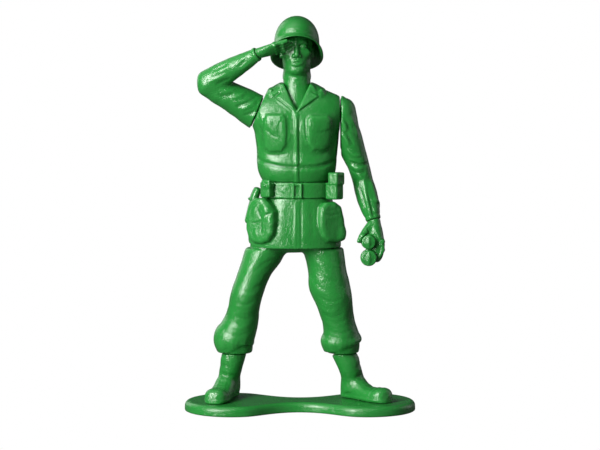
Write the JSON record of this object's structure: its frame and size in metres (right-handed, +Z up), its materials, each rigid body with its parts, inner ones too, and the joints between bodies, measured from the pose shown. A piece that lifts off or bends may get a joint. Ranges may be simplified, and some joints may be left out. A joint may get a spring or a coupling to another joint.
{
  "type": "action figure",
  "caption": "One-colour cast plastic toy soldier, saluting and holding field glasses, jointed at neck, shoulders, wrists and waist, standing on a waisted base plate.",
  "frame": {"origin": "centre of the base plate on its underside", "axes": "+Z up, -Y is the way the soldier faces, +X is the soldier's left"},
  "size_m": [0.147, 0.062, 0.25],
  "materials": {
    "green_vinyl": "glossy cast",
    "plug_plastic": "satin"
  },
  "bodies": {
    "base": {"base_plate": "green_vinyl", "right_foot_peg": "plug_plastic", "left_foot_peg": "plug_plastic"},
    "legs": {"right_boot": "green_vinyl", "left_boot": "green_vinyl", "trousers": "green_vinyl", "jacket_skirt": "green_vinyl", "belt": "green_vinyl", "ammo_pouch": "green_vinyl", "first_aid_pouch": "green_vinyl", "holster": "green_vinyl", "waist_plug": "plug_plastic"},
    "torso": {"chest": "green_vinyl"},
    "head": {"head": "green_vinyl", "helmet": "green_vinyl"},
    "right_arm": {"right_arm": "green_vinyl", "right_shoulder_plug": "plug_plastic"},
    "right_hand": {"right_hand": "green_vinyl", "right_wrist_plug": "plug_plastic"},
    "left_arm": {"left_arm": "green_vinyl", "left_shoulder_plug": "plug_plastic"},
    "left_hand": {"left_hand": "green_vinyl", "left_wrist_plug": "plug_plastic", "binoculars": "green_vinyl"}
  },
  "joints": [
    {"name": "lift_off", "type": "slide", "parent": "base", "child": "legs", "axis": [0, 0, 1], "range_m": [0, 0.012]},
    {"name": "waist_swivel", "type": "hinge", "parent": "legs", "child": "torso", "pos_m": [-0.002, 0, 0.146], "axis": [0, 0, 1], "continuous": true},
    {"name": "neck_swivel", "type": "hinge", "parent": "torso", "child": "head", "pos_m": [-0.002, 0, 0.206], "axis": [0, 0, 1], "range_deg": [-40, 10]},
    {"name": "right_shoulder", "type": "hinge", "parent": "torso", "child": "right_arm", "pos_m": [-0.0266, 0, 0.189], "axis": [-0.9212, 0, 0.3891], "range_deg": [-180, 0]},
    {"name": "right_wrist", "type": "hinge", "parent": "right_arm", "child": "right_hand", "pos_m": [-0.0263, -0.0182, 0.226], "axis": [0.8081, -0.3575, 0.4682], "range_deg": [-120, 0]},
    {"name": "left_shoulder", "type": "hinge", "parent": "torso", "child": "left_arm", "pos_m": [0.0251, 0, 0.188], "axis": [1, 0, 0], "continuous": true},
    {"name": "left_wrist", "type": "hinge", "parent": "left_arm", "child": "left_hand", "pos_m": [0.0464, -0.0055, 0.1216], "axis": [0.2519, -0.2633, -0.9312], "continuous": true}
  ]
}
